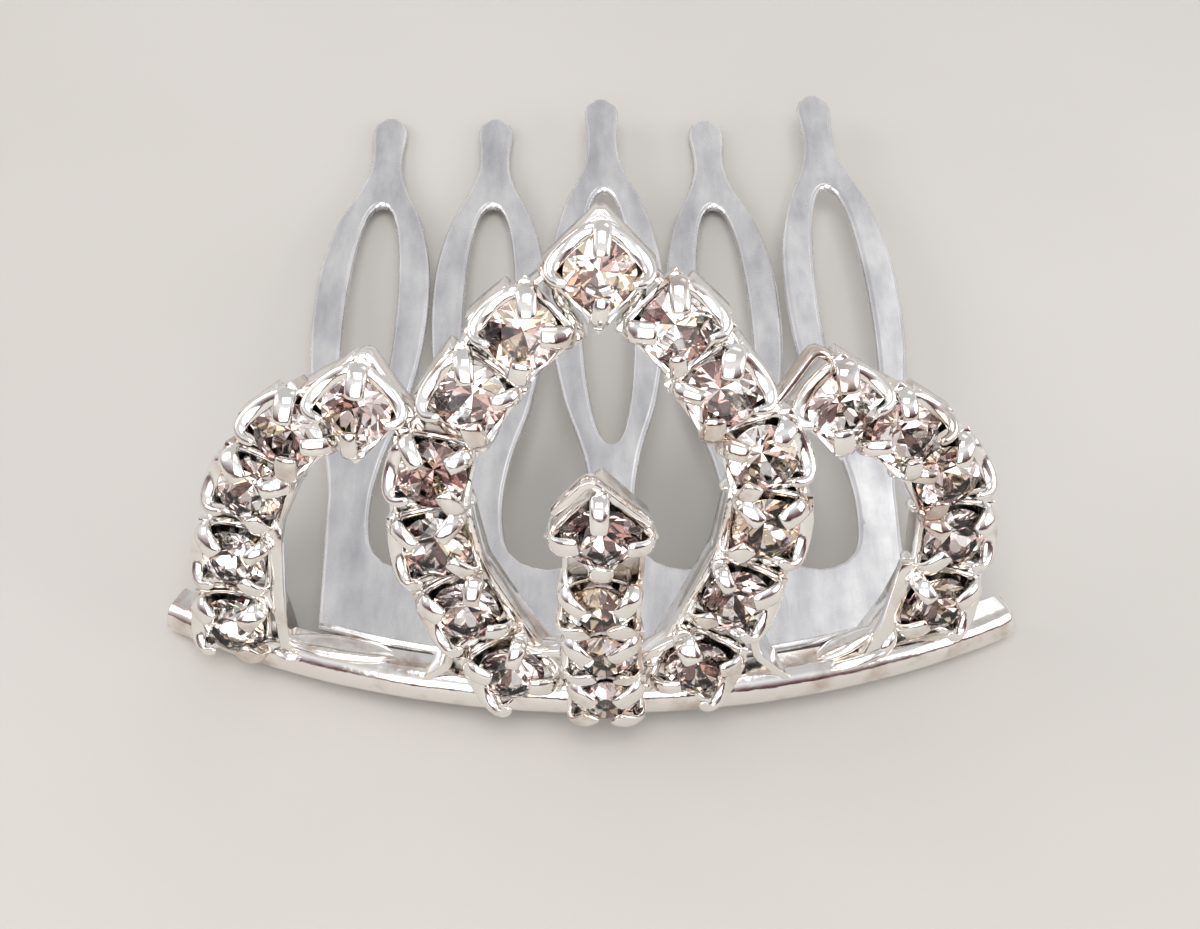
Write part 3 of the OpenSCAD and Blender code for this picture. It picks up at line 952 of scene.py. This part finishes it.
@dataclass
class ClawCups:
    """Folded cups with a conical seat, and four claws on each, bent in over the stone."""

    seed: int = 11
    tip_cup_scale: float = 0.94
    claw_root: float = 2.3
    # inner radius, inner height, outer radius, outer height, half width
    claw_rows: tuple[Row, ...] = (
        (1.78, -1.60, 2.14, -1.75, 0.34), (2.02, -0.90, 2.46, -0.95, 0.42),
        (2.14, -0.30, 2.56, -0.30, 0.46), (2.12, 0.06, 2.54, 0.28, 0.49),
        (1.92, 0.34, 2.20, 0.70, 0.49), (1.58, 0.46, 1.72, 0.88, 0.49),
        (1.26, 0.56, 1.36, 0.97, 0.47), (1.00, 0.62, 1.04, 0.99, 0.44),
        (0.90, 0.66, 0.92, 0.94, 0.38))
    # place, half width, half thickness
    hook_rows: tuple[tuple[Place, float, float], ...] = (
        ((1.50, 1.58, -0.16), 0.24, 0.14), ((1.70, 1.36, 0.0), 0.36, 0.2),
        ((1.85, 0.9, 0.0), 0.43, 0.22), ((1.92, 0.2, -0.08), 0.45, 0.22),
        ((1.94, -0.5, -0.04), 0.45, 0.22), ((1.90, -1.15, 0.12), 0.42, 0.2),
        ((1.74, -1.60, 0.36), 0.37, 0.18), ((1.38, -1.72, 0.56), 0.32, 0.16),
        ((1.00, -1.50, 0.68), 0.28, 0.14), ((0.78, -1.25, 0.72), 0.2, 0.12))

    def cup(self) -> Piece:
        """Models one cup at the origin, in mm, its rim towards +Z.

        Returns:
            The cup.
        """
        bpy.ops.mesh.primitive_cube_add(size=1, location=(0, 0, (CUP.rim - CUP.depth) / 2))
        body = added("cup_model")
        body.scale = (CUP.side, CUP.side, CUP.depth + CUP.rim)
        bpy.ops.object.transform_apply(location=True, rotation=True, scale=True)
        mode("EDIT")
        pick(body, "faces", lambda face: face.normal.z < -0.5)
        share = CUP.back_side / CUP.side
        bpy.ops.transform.resize(value=(share, share, 1), center_override=(0, 0, -CUP.depth))
        pick(body, "edges",
             lambda edge: abs(edge.verts[0].co.z - edge.verts[1].co.z) > CUP.depth / 2)
        bpy.ops.mesh.bevel(offset=CUP.corner, segments=3, affect="EDGES")
        pick(body, "faces", lambda face: face.normal.z > 0.5)
        bpy.ops.mesh.inset(thickness=CUP.wall)
        bpy.ops.mesh.extrude_region_move(TRANSFORM_OT_translate={"value": (0, 0, -CUP.well)})
        mode("OBJECT")
        recalculate(body)
        self.cut_openings(body)
        bevel(body, CUP.edge, 35)
        smooth(body, 35)
        return body

    def cut_openings(self, body: Piece) -> None:
        """Bores the stone's conical seat and cuts the rim down in arcs between the claws.

        Args:
            body: the cup.
        """
        floor = CUP.rim - CUP.well
        bpy.ops.mesh.primitive_cone_add(
            vertices=32, radius1=CUP.back_hole, radius2=CUP.seat_hole,
            depth=CUP.depth + floor + 0.3, location=(0, 0, (floor - CUP.depth) / 2))
        carve(body)
        radius = (CUP.scallop_half ** 2 + CUP.scallop ** 2) / (2 * CUP.scallop)
        for turn in (0, 90):
            bpy.ops.mesh.primitive_cylinder_add(
                vertices=64, radius=radius, depth=CUP.side + 1,
                location=(0, 0, CUP.rim - CUP.scallop + radius),
                rotation=(radians(90), 0, radians(turn)))
            carve(body)

    def wire(self, rings: Sequence[Ring]) -> Piece:
        """Draws a bar through its sections and rounds it all over."""
        bar = drawn_bar("wire_model", rings)
        modify(bar, "SUBSURF", levels=2, render_levels=2)
        smooth(bar, 180)
        return bar

    def claw(self) -> Piece:
        """Models one claw on the +X side."""
        return self.wire([[Vector((inner, -half, low)), Vector((outer, -half, high)),
                           Vector((outer, half, high)), Vector((inner, half, low))]
                          for inner, low, outer, high, half in self.claw_rows])

    def hook(self, side: Side) -> Piece:
        """Models the rim strip of one outer wall, whose lower end is bent in as a claw.

        Args:
            side: the half of the tiara that it is for.

        Returns:
            The strip.
        """
        path = [Vector((side.value * x, y, z)) for (x, y, z), _, _ in self.hook_rows]
        rings = []
        for i, (_, wide, thick) in enumerate(self.hook_rows):
            ahead = path[min(i + 1, len(path) - 1)] - path[max(i - 1, 0)]
            across = Vector((-ahead[1], ahead[0], 0)).normalized()
            rise = ahead.cross(across).normalized() * thick
            across *= wide
            rings.append([path[i] + across + rise, path[i] - across + rise,
                          path[i] - across - rise, path[i] + across - rise])
        return self.wire(rings)

    def build(self) -> list[Piece]:
        """Builds every cup and every claw.

        Returns:
            The cups and the claws, one piece each.
        """
        chance = random.Random(self.seed)
        cup, claw = self.cup(), self.claw()
        hooks = {side: self.hook(side) for side in Side}
        root = moved((self.claw_root, 0, 0))
        cups, claws = [], []
        for name, pose in CUP_POSES.items():
            shrink = self.tip_cup_scale if name == "stone_post_1" else 1.0
            cups.append(copied(cup, "cup", pose @ Matrix.Scale(shrink, 4, (1, -1, 0))))
            corners = {45, 135, 225, 315}
            for side, turn in outer_sides(name):
                corners.discard(((315 if side is Side.RIGHT else 225) + turn) % 360)
                skew = turn + side.value * chance.uniform(-1.0, 3.0)
                skew += 7.0 if name == "stone_side_right_1" else 0.0
                size = Matrix.Diagonal((1, chance.uniform(0.94, 1.02), chance.uniform(0.9, 1.3), 1))
                claws.append(copied(hooks[side], "claw", pose @ turned(skew, "Z") @ size))
            for corner in sorted(corners):
                turn = turned(corner + chance.uniform(-4, 4), "Z")
                lean = turned(chance.uniform(-9, 9), "Z")
                tip = turned(chance.uniform(-5, 1), "Y")
                size = Matrix.Diagonal((chance.uniform(0.8, 1.08), chance.uniform(0.92, 1.34),
                                        1, 1))
                claws.append(copied(claw, "claw", pose @ turn @ root @ lean @ tip @ size
                                    @ root.inverted()))
        for model in (cup, claw, *hooks.values()):
            bpy.data.objects.remove(model)
        return [joined(cups, "claw_cups"), joined(claws, "bent_claws")]


@dataclass
class SolderJoints:
    """Drops of solder that fill the notches between cups and spread at the ribbons' feet."""

    seed: int = 5
    # across, up, out, turn, half width, half height, half depth
    spots: tuple[Row, ...] = (
        (-16.2, 0.9, -0.9, 0, 1.0, 0.4, 0.9), (-13.4, 1.62, -1.15, -2, 3.1, 0.42, 0.9),
        (13.6, 1.35, -0.9, 14, 2.2, 0.42, 0.8), (13.2, 2.1, -1.2, 26, 1.9, 0.36, 0.7),
        (15.4, 2.0, -0.9, 60, 1.1, 0.6, 0.8), (-9.0, 0.9, -1.6, 0, 0.9, 0.22, 1.0),
        (9.9, 0.95, -1.6, -8, 1.0, 0.22, 1.0), (-2.5, 3.0, -1.1, -20, 0.75, 0.5, 0.8),
        (2.9, 3.1, -1.1, 24, 0.75, 0.5, 0.8), (-2.95, 3.95, -0.62, 6, 1.3, 0.3, 0.55),
        (3.2, 4.15, -0.62, 38, 1.25, 0.3, 0.55), (4.8, 4.7, -0.62, -8, 0.75, 0.32, 0.55),
        (-2.0, 1.3, -1.2, 0, 0.5, 0.7, 0.8), (2.6, 1.3, -1.2, 0, 0.5, 0.7, 0.8))
    notch_out: float = -1.35
    notch_half: float = 0.38

    def drop(self) -> Piece:
        """Models one drop: a low rounded lump.

        Returns:
            The lump.
        """
        bpy.ops.mesh.primitive_ico_sphere_add(subdivisions=3, radius=1)
        lump = added("solder_model")
        mode("EDIT")
        bpy.ops.mesh.select_all(action="SELECT")
        bpy.ops.transform.vertex_random(offset=0.03, seed=3)
        mode("OBJECT")
        smooth(lump, 180)
        return lump

    def build(self) -> Piece:
        """Builds the drops as one piece.

        Returns:
            The drops.
        """
        chance = random.Random(self.seed)
        model = self.drop()
        rows = list(self.spots)
        for chain in CHAINS:
            places = [chain.place(i) for i in range(len(chain.steps) + 1)]
            if "arch" in chain.name:
                places.append(PEAK)
            for below, above in zip(places, places[1:]):
                step = above - below
                across = step.orthogonal().normalized()
                turn = degrees(atan2(step[1], step[0]))
                for share in (-1.3, 0.0, 1.3):
                    rows.append((*((below + above) / 2 + across * share), self.notch_out, turn,
                                 self.notch_half, chance.uniform(0.7, 0.95),
                                 chance.uniform(0.7, 0.85)))
        drops = []
        for across, up, out, turn, wide, high, deep in rows:
            size = moved((0, 0, out)) @ Matrix.Diagonal((wide, high, deep, 1))
            drops.append(copied(model, "drop", FACE.pose(Vector((across, up)), turn) @ size))
        bpy.data.objects.remove(model)
        return joined(drops, "solder_joints")


@dataclass
class StampedComb:
    """The comb: a sheet plate with five looped teeth, stamped, tumbled and bent a little."""

    sheet: float = 0.7
    pitch: float = 7.5
    gap_start: float = 7.6
    length: float = 42.2
    height: float = 3.0
    shift: float = 1.15
    turn: float = 0.6
    plate_half: float = 15.9
    plate_gap: float = 0.06
    lifts: Row = (0.0, 0.0, 2.5, 0.0, 3.1)
    lift_run: float = 3.0
    edge: float = 0.33
    eye_start: float = 9.3
    eye_end: float = 32.2
    eye_half: float = 2.95
    # along the tooth, half width
    outline: tuple[Spot, ...] = (
        (0.0, 3.75), (0.15, 3.05), (0.5, 2.3), (1.2, 1.7), (2.4, 1.35), (5.2, 1.25),
        (8.0, 1.6), (10.2, 2.1), (11.4, 2.45), (13.2, 2.85), (17.0, 3.4), (21.5, 3.65),
        (25.5, 3.55), (28.5, 3.15), (30.6, 2.7), (31.6, 2.4), (33.4, 1.75), (35.2, 1.25),
        (36.6, 1.05), (38.4, 1.05), (39.8, 1.17), (40.6, 1.2), (41.2, 1.12), (41.65, 0.93),
        (41.95, 0.68), (42.15, 0.35))

    def half_width(self, along: float) -> float:
        """Half width of a tooth, curved smoothly between the rows of its outline.

        Args:
            along: distance from the plate's front edge, in mm.

        Returns:
            The half width, in mm.
        """
        rows = self.outline
        i = max(k for k in range(len(rows) - 1) if rows[k][0] <= along)
        (t0, w0), (t1, w1) = rows[i], rows[i + 1]
        span = t1 - t0
        part = (along - t0) / span
        if along < 1.2 or along > 41.2:
            return w0 + (w1 - w0) * part
        slopes = [(rows[k + 1][1] - rows[k - 1][1]) / (rows[k + 1][0] - rows[k - 1][0])
                  for k in (i, i + 1)]
        return ((2 * part ** 3 - 3 * part ** 2 + 1) * w0
                + (part ** 3 - 2 * part ** 2 + part) * span * slopes[0]
                + (-2 * part ** 3 + 3 * part ** 2) * w1
                + (part ** 3 - part ** 2) * span * slopes[1])

    def rim(self) -> list[Spot]:
        """Outline of plate and teeth, in the comb's own plane.

        Returns:
            The outline's points, in mm.
        """
        alongs = [0.15, 0.32, 0.5, 0.8] + [1.2 + 40.9 * i / 64 for i in range(65)] + [42.19]
        points = []
        for index in range(-2, 3):
            middle = index * self.pitch
            if index > -2:
                points.append((middle - self.pitch / 2, 0.0))
            points += [(middle - self.half_width(t), t) for t in alongs if index > -2 or t > 5.2]
            points.append((middle, self.length + 0.02))
            points += [(middle + self.half_width(t), t) for t in reversed(alongs)
                       if index < 2 or t > 5.2]
        angle = radians(-self.turn)
        reach = FACE.band_radius - FACE.band_depth / 2 - self.plate_gap
        for i in range(33):
            across = self.plate_half * (1 - 2 * i / 32) + self.shift
            back = FACE.band_radius - sqrt(reach ** 2 - across ** 2) - self.gap_start
            x = across - self.shift
            points.append((x * cos(angle) - back * sin(angle), x * sin(angle) + back * cos(angle)))
        return points

    def eye(self, index: int) -> list[Spot]:
        """Outline of one tooth's eye.

        Args:
            index: number of the tooth, 0 in the middle.

        Returns:
            The outline's points, in mm.
        """
        middle, span = index * self.pitch, self.eye_end - self.eye_start
        right = []
        for i in range(1, 28):
            part = (1 - cos(pi * i / 28)) / 2
            right.append((self.eye_half * part ** 0.45 * (1 - part) ** 0.42,
                          self.eye_start + span * part))
        return [(middle, self.eye_start), *((middle + half, t) for half, t in right),
                (middle, self.eye_end), *((middle - half, t) for half, t in reversed(right))]

    def lifted(self, point: Vector) -> Vector:
        """Place of a point of the flat comb after its tooth is bent up.

        Args:
            point: place on the flat comb.

        Returns:
            The place on the bent comb.
        """
        tooth = min(2, max(-2, round(point.x / self.pitch)))
        lift = radians(self.lifts[tooth + 2])
        y, z = point.y, point.z
        if lift and y > 0:
            share = min(1.0, y / self.lift_run)
            angle = lift * share
            run = y - self.lift_run / 2 * share
            y, z = (y - run + run * cos(angle) - z * sin(angle),
                    z * cos(angle) + run * sin(angle))
        return Vector((point.x, y, z))

    def build(self) -> Piece:
        """Builds the comb.

        Returns:
            The comb.
        """
        curve = bpy.data.curves.new("comb_blank", "CURVE")
        curve.dimensions = "2D"
        curve.fill_mode = "BOTH"
        curve.extrude = self.sheet / 2 - self.edge
        curve.bevel_depth = self.edge
        curve.bevel_resolution = 3
        curve.offset = -self.edge
        for outline in [self.rim()] + [self.eye(i) for i in range(-2, 3)]:
            spline = curve.splines.new("POLY")
            spline.points.add(len(outline) - 1)
            spline.use_cyclic_u = True
            for point, (x, y) in zip(spline.points, outline):
                point.co = (x, y, 0, 1)
        take(linked("comb_blank", curve))
        bpy.ops.object.convert(target="MESH")
        comb = added("stamped_comb")
        recalculate(comb, 0.002)
        mode("EDIT")
        for i in range(1, 28):
            bpy.ops.mesh.select_all(action="SELECT")
            bpy.ops.mesh.bisect(plane_co=(0, 1.5 * i + 0.013, 0), plane_no=(0, 1, 0),
                                threshold=0.0001)
        mode("OBJECT")
        slope = asin((self.height - self.sheet / 2) / self.length)
        pose = (moved((self.shift, self.gap_start - FACE.origin_shift, self.height))
                @ turned(self.turn, "Z") @ Matrix.Rotation(-slope, 4, "X"))
        for point in comb.data.vertices:
            point.co = pose @ self.lifted(point.co)
        smooth(comb, 40)
        modify(comb, "WEIGHTED_NORMAL", weight=80, keep_sharp=True)
        return comb


@dataclass
class BrilliantStones:
    """Round stones, cut with a table, stars, kites, girdle facets and a full pavilion."""

    seed: int = 23
    blank_height: float = 4.0
    table_share: float = 0.58
    star_angle: float = 21.0
    break_angle: float = 42.0
    pavilion_break: float = 2.2
    # Foil tints of the pavilion's facets, drawn at random: besides silver they are painted fire and
    # painted shade. Blue and green painted fire goes on a share of the small facets as glints.
    tints: tuple[tuple[FoilAndPaintedLightTint, float], ...] = (
        (FoilAndPaintedLightTint.SILVER, 0.46), (FoilAndPaintedLightTint.ROSE, 0.22), (FoilAndPaintedLightTint.SMOKE, 0.2),
        (FoilAndPaintedLightTint.GOLD, 0.12))
    painted_fire: tuple[FoilAndPaintedLightTint, ...] = (FoilAndPaintedLightTint.BLUE, FoilAndPaintedLightTint.GREEN)
    painted_fire_share: float = 0.035

    def cut(self, azimuth: float, angle: float, reach: float, height: float) -> None:
        """Grinds one facet on the stone in edit mode.

        Args:
            azimuth: direction of the facet, in degrees.
            angle: its slope against the girdle's plane, in degrees; over 90 is the pavilion.
            reach: distance of a point of the facet from the axis.
            height: height of that point.
        """
        turn, slope = radians(azimuth), radians(angle)
        bpy.ops.mesh.select_all(action="SELECT")
        bpy.ops.mesh.bisect(
            plane_co=(reach * cos(turn), reach * sin(turn), height),
            plane_no=(sin(slope) * cos(turn), sin(slope) * sin(turn), cos(slope)),
            use_fill=True, clear_outer=True, threshold=0.00005)

    def model(self) -> Piece:
        """Cuts the model stone from a round blank, in mm, its table towards +Z.

        Returns:
            The model stone.
        """
        radius, girdle, crown = CUP.stone_radius, CUP.girdle_half, CUP.crown
        bpy.ops.mesh.primitive_cylinder_add(vertices=48, radius=radius, depth=self.blank_height)
        stone = added("stone_model")
        mode("EDIT")
        near = radius * cos(radians(11.25))
        table = radius * self.table_share
        kite = degrees(atan((crown - girdle) / (radius - table)))
        main_angle = degrees(atan((CUP.pavilion - girdle) / radius))
        self.cut(0, 0, 0, crown)
        for k in range(8):
            self.cut(45 * k, kite, radius, girdle)
            self.cut(45 * k + 22.5, 180 - main_angle, radius, -girdle)
        for k in range(8):
            self.cut(45 * k + 22.5, self.star_angle, table * cos(radians(22.5)), crown)
        for k in range(16):
            self.cut(22.5 * k + 11.25, self.break_angle, near, girdle)
            self.cut(22.5 * k + 11.25, 180 - main_angle - self.pavilion_break, near, -girdle)
        mode("OBJECT")
        recalculate(stone, 0.0001)
        return stone

    def build(self, finishes: Sequence[Material]) -> None:
        """Builds every stone with its own turn and its own foil, whose facets carry painted fire
        and painted shade at random.

        Args:
            finishes: the glass, then the foil in silver and in each tint of painted light.
        """
        chance = random.Random(self.seed)
        model = self.model()
        for finish in finishes:
            model.data.materials.append(finish)
        tints, weights = zip(*self.tints)
        narrow = sorted(face.area for face in model.data.polygons)[len(model.data.polygons) // 3]
        for node, pose in CUP_POSES.items():
            spin = turned(chance.uniform(0, 45), "Z")
            tip = turned(chance.uniform(-2.5, 2.5), "X")
            stone = copied(model, node.replace("stone_", "cut_stone_"), spin)
            for face in stone.data.polygons:
                # Each pavilion facet gets a random foil tint, painted fire and painted shade among
                # them, and a few small facets a blue or green painted glint.
                tint = chance.choices(tints, weights)[0]
                if face.area < narrow and chance.random() < self.painted_fire_share:
                    tint = chance.choice(self.painted_fire)
                face.material_index = [*FoilAndPaintedLightTint].index(tint) + 1 if face.normal.z < -0.1 else 0
                face.use_smooth = False
            stone.data.transform(pose @ tip)
            finished(stone, node, "crystal")
        bpy.data.objects.remove(model)


@dataclass
class Studio:
    """Pale floor, soft lights and the camera at the photograph's place."""

    floor_side: float = 1.6
    camera_place: Place = (-1.703, -71.758, 78.403)
    elevation: float = 49.992
    azimuth: float = 1.861
    roll: float = 1.85
    focal_px: float = 1698.9
    frame_px: float = 1200.0
    sensor_mm: float = 36.0
    # name, azimuth and elevation in degrees, distance and size in m, power in W, colour
    boxes: tuple[tuple[str, float, float, float, Spot, float, str], ...] = (
        ("key_over_camera", 268, 68, 0.5, (0.30, 0.24), 1.15, "FFFFFF"),
        ("box_front", 262, 22, 0.5, (0.42, 0.26), 0.8, "FFFAF6"),
        ("box_left", 180, 34, 0.45, (0.28, 0.2), 0.5, "FFFAF5"),
        ("box_right", 338, 22, 0.45, (0.28, 0.2), 0.55, "FFFDFB"),
        ("box_behind", 56, 48, 0.5, (0.21, 0.21), 0.085, "FFFFFF"))
    lowest: str = "3C2625"
    highest: str = "CDCCCD"
    # height in the room, colour
    room: tuple[tuple[float, str], ...] = (
        (0.2, "795B5D"), (0.42, "BFBABD"), (0.68, "F4F3F5"), (0.86, "E3E2E4"))

    def floor(self, paint: Material) -> None:
        """Lays the tabletop."""
        bpy.ops.mesh.primitive_plane_add(size=self.floor_side)
        top = added("tabletop")
        top.data.materials.append(paint)

    def camera(self) -> None:
        """Sets the camera up."""
        lens = bpy.data.cameras.new("photo_camera")
        lens.sensor_fit = "HORIZONTAL"
        lens.sensor_width = self.sensor_mm
        lens.lens = self.sensor_mm * self.focal_px / self.frame_px
        lens.clip_start = 0.001
        lens.clip_end = 10
        camera = linked("photo_camera", lens)
        camera.matrix_world = (moved(Vector(self.camera_place) * MM) @ turned(-self.azimuth, "Z")
                               @ turned(90 - self.elevation, "X") @ turned(self.roll, "Z"))
        bpy.context.scene.camera = camera

    def lights(self) -> None:
        """Hangs the soft lights, which all look at the tiara."""
        for name, azimuth, elevation, distance, size, power, colour in self.boxes:
            place = turned(azimuth, "Z") @ turned(-elevation, "Y") @ Vector((distance, 0, 0))
            lamp = bpy.data.lights.new(name, "AREA")
            lamp.shape = "RECTANGLE"
            lamp.size, lamp.size_y = size
            lamp.energy = power
            lamp.color = linear(colour)[:3]
            aim = place.to_track_quat("Z", "Y").to_matrix().to_4x4()
            linked(name, lamp).matrix_world = moved(place) @ aim

    def room_light(self) -> None:
        """Sets the room's own soft light.

        Low down and between the lights the room is darker and warm, which gives the metal and the
        facets their brown lines.
        """
        world = bpy.data.worlds.new("room")
        bpy.context.scene.world = world
        world.use_nodes = True
        tree = world.node_tree
        tree.nodes.clear()
        place = add_node(tree, "ShaderNodeTexCoord", {})
        split = add_node(tree, "ShaderNodeSeparateXYZ", {"Vector": place.outputs["Generated"]})
        behind = add_node(tree, "ShaderNodeMath", {0: split.outputs["Y"], 1: 0.4, 2: 0.34},
                          operation="MULTIPLY_ADD")
        height = add_node(tree, "ShaderNodeMath", {
            0: split.outputs["Z"], 1: behind.outputs["Value"]}, operation="ADD")
        ramp = add_node(tree, "ShaderNodeValToRGB", {"Fac": height.outputs["Value"]})
        stops = ramp.color_ramp.elements
        stops[0].color, stops[1].color = linear(self.lowest), linear(self.highest)
        for level, colour in self.room:
            stops.new(level).color = linear(colour)
        glow = add_node(tree, "ShaderNodeBackground", {"Color": ramp.outputs["Color"]})
        add_node(tree, "ShaderNodeOutputWorld", {"Surface": glow.outputs["Background"]})


def main() -> None:
    """Builds the tiara piece by piece, then the studio."""
    logging.basicConfig(level=logging.INFO, format="%(name)s: %(message)s")
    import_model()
    plate = BRIGHT_PLATE.build()
    for piece in (Band().build(), Ribbons().build(), *ClawCups().build(), SolderJoints().build()):
        finished(piece, "tiara_frame", "silver_plate", plate)
    finished(StampedComb().build(), "comb", "satin_silver_plate", CLOUDY_PLATE.build())
    BrilliantStones().build([CutCrystal().build(), *(MirrorFoil(t).build() for t in FoilAndPaintedLightTint)])
    studio = Studio()
    studio.floor(PaleTabletop().build())
    studio.lights()
    studio.room_light()
    studio.camera()
    bpy.context.scene.view_settings.view_transform = "Standard"


if __name__ == "__main__":
    main()
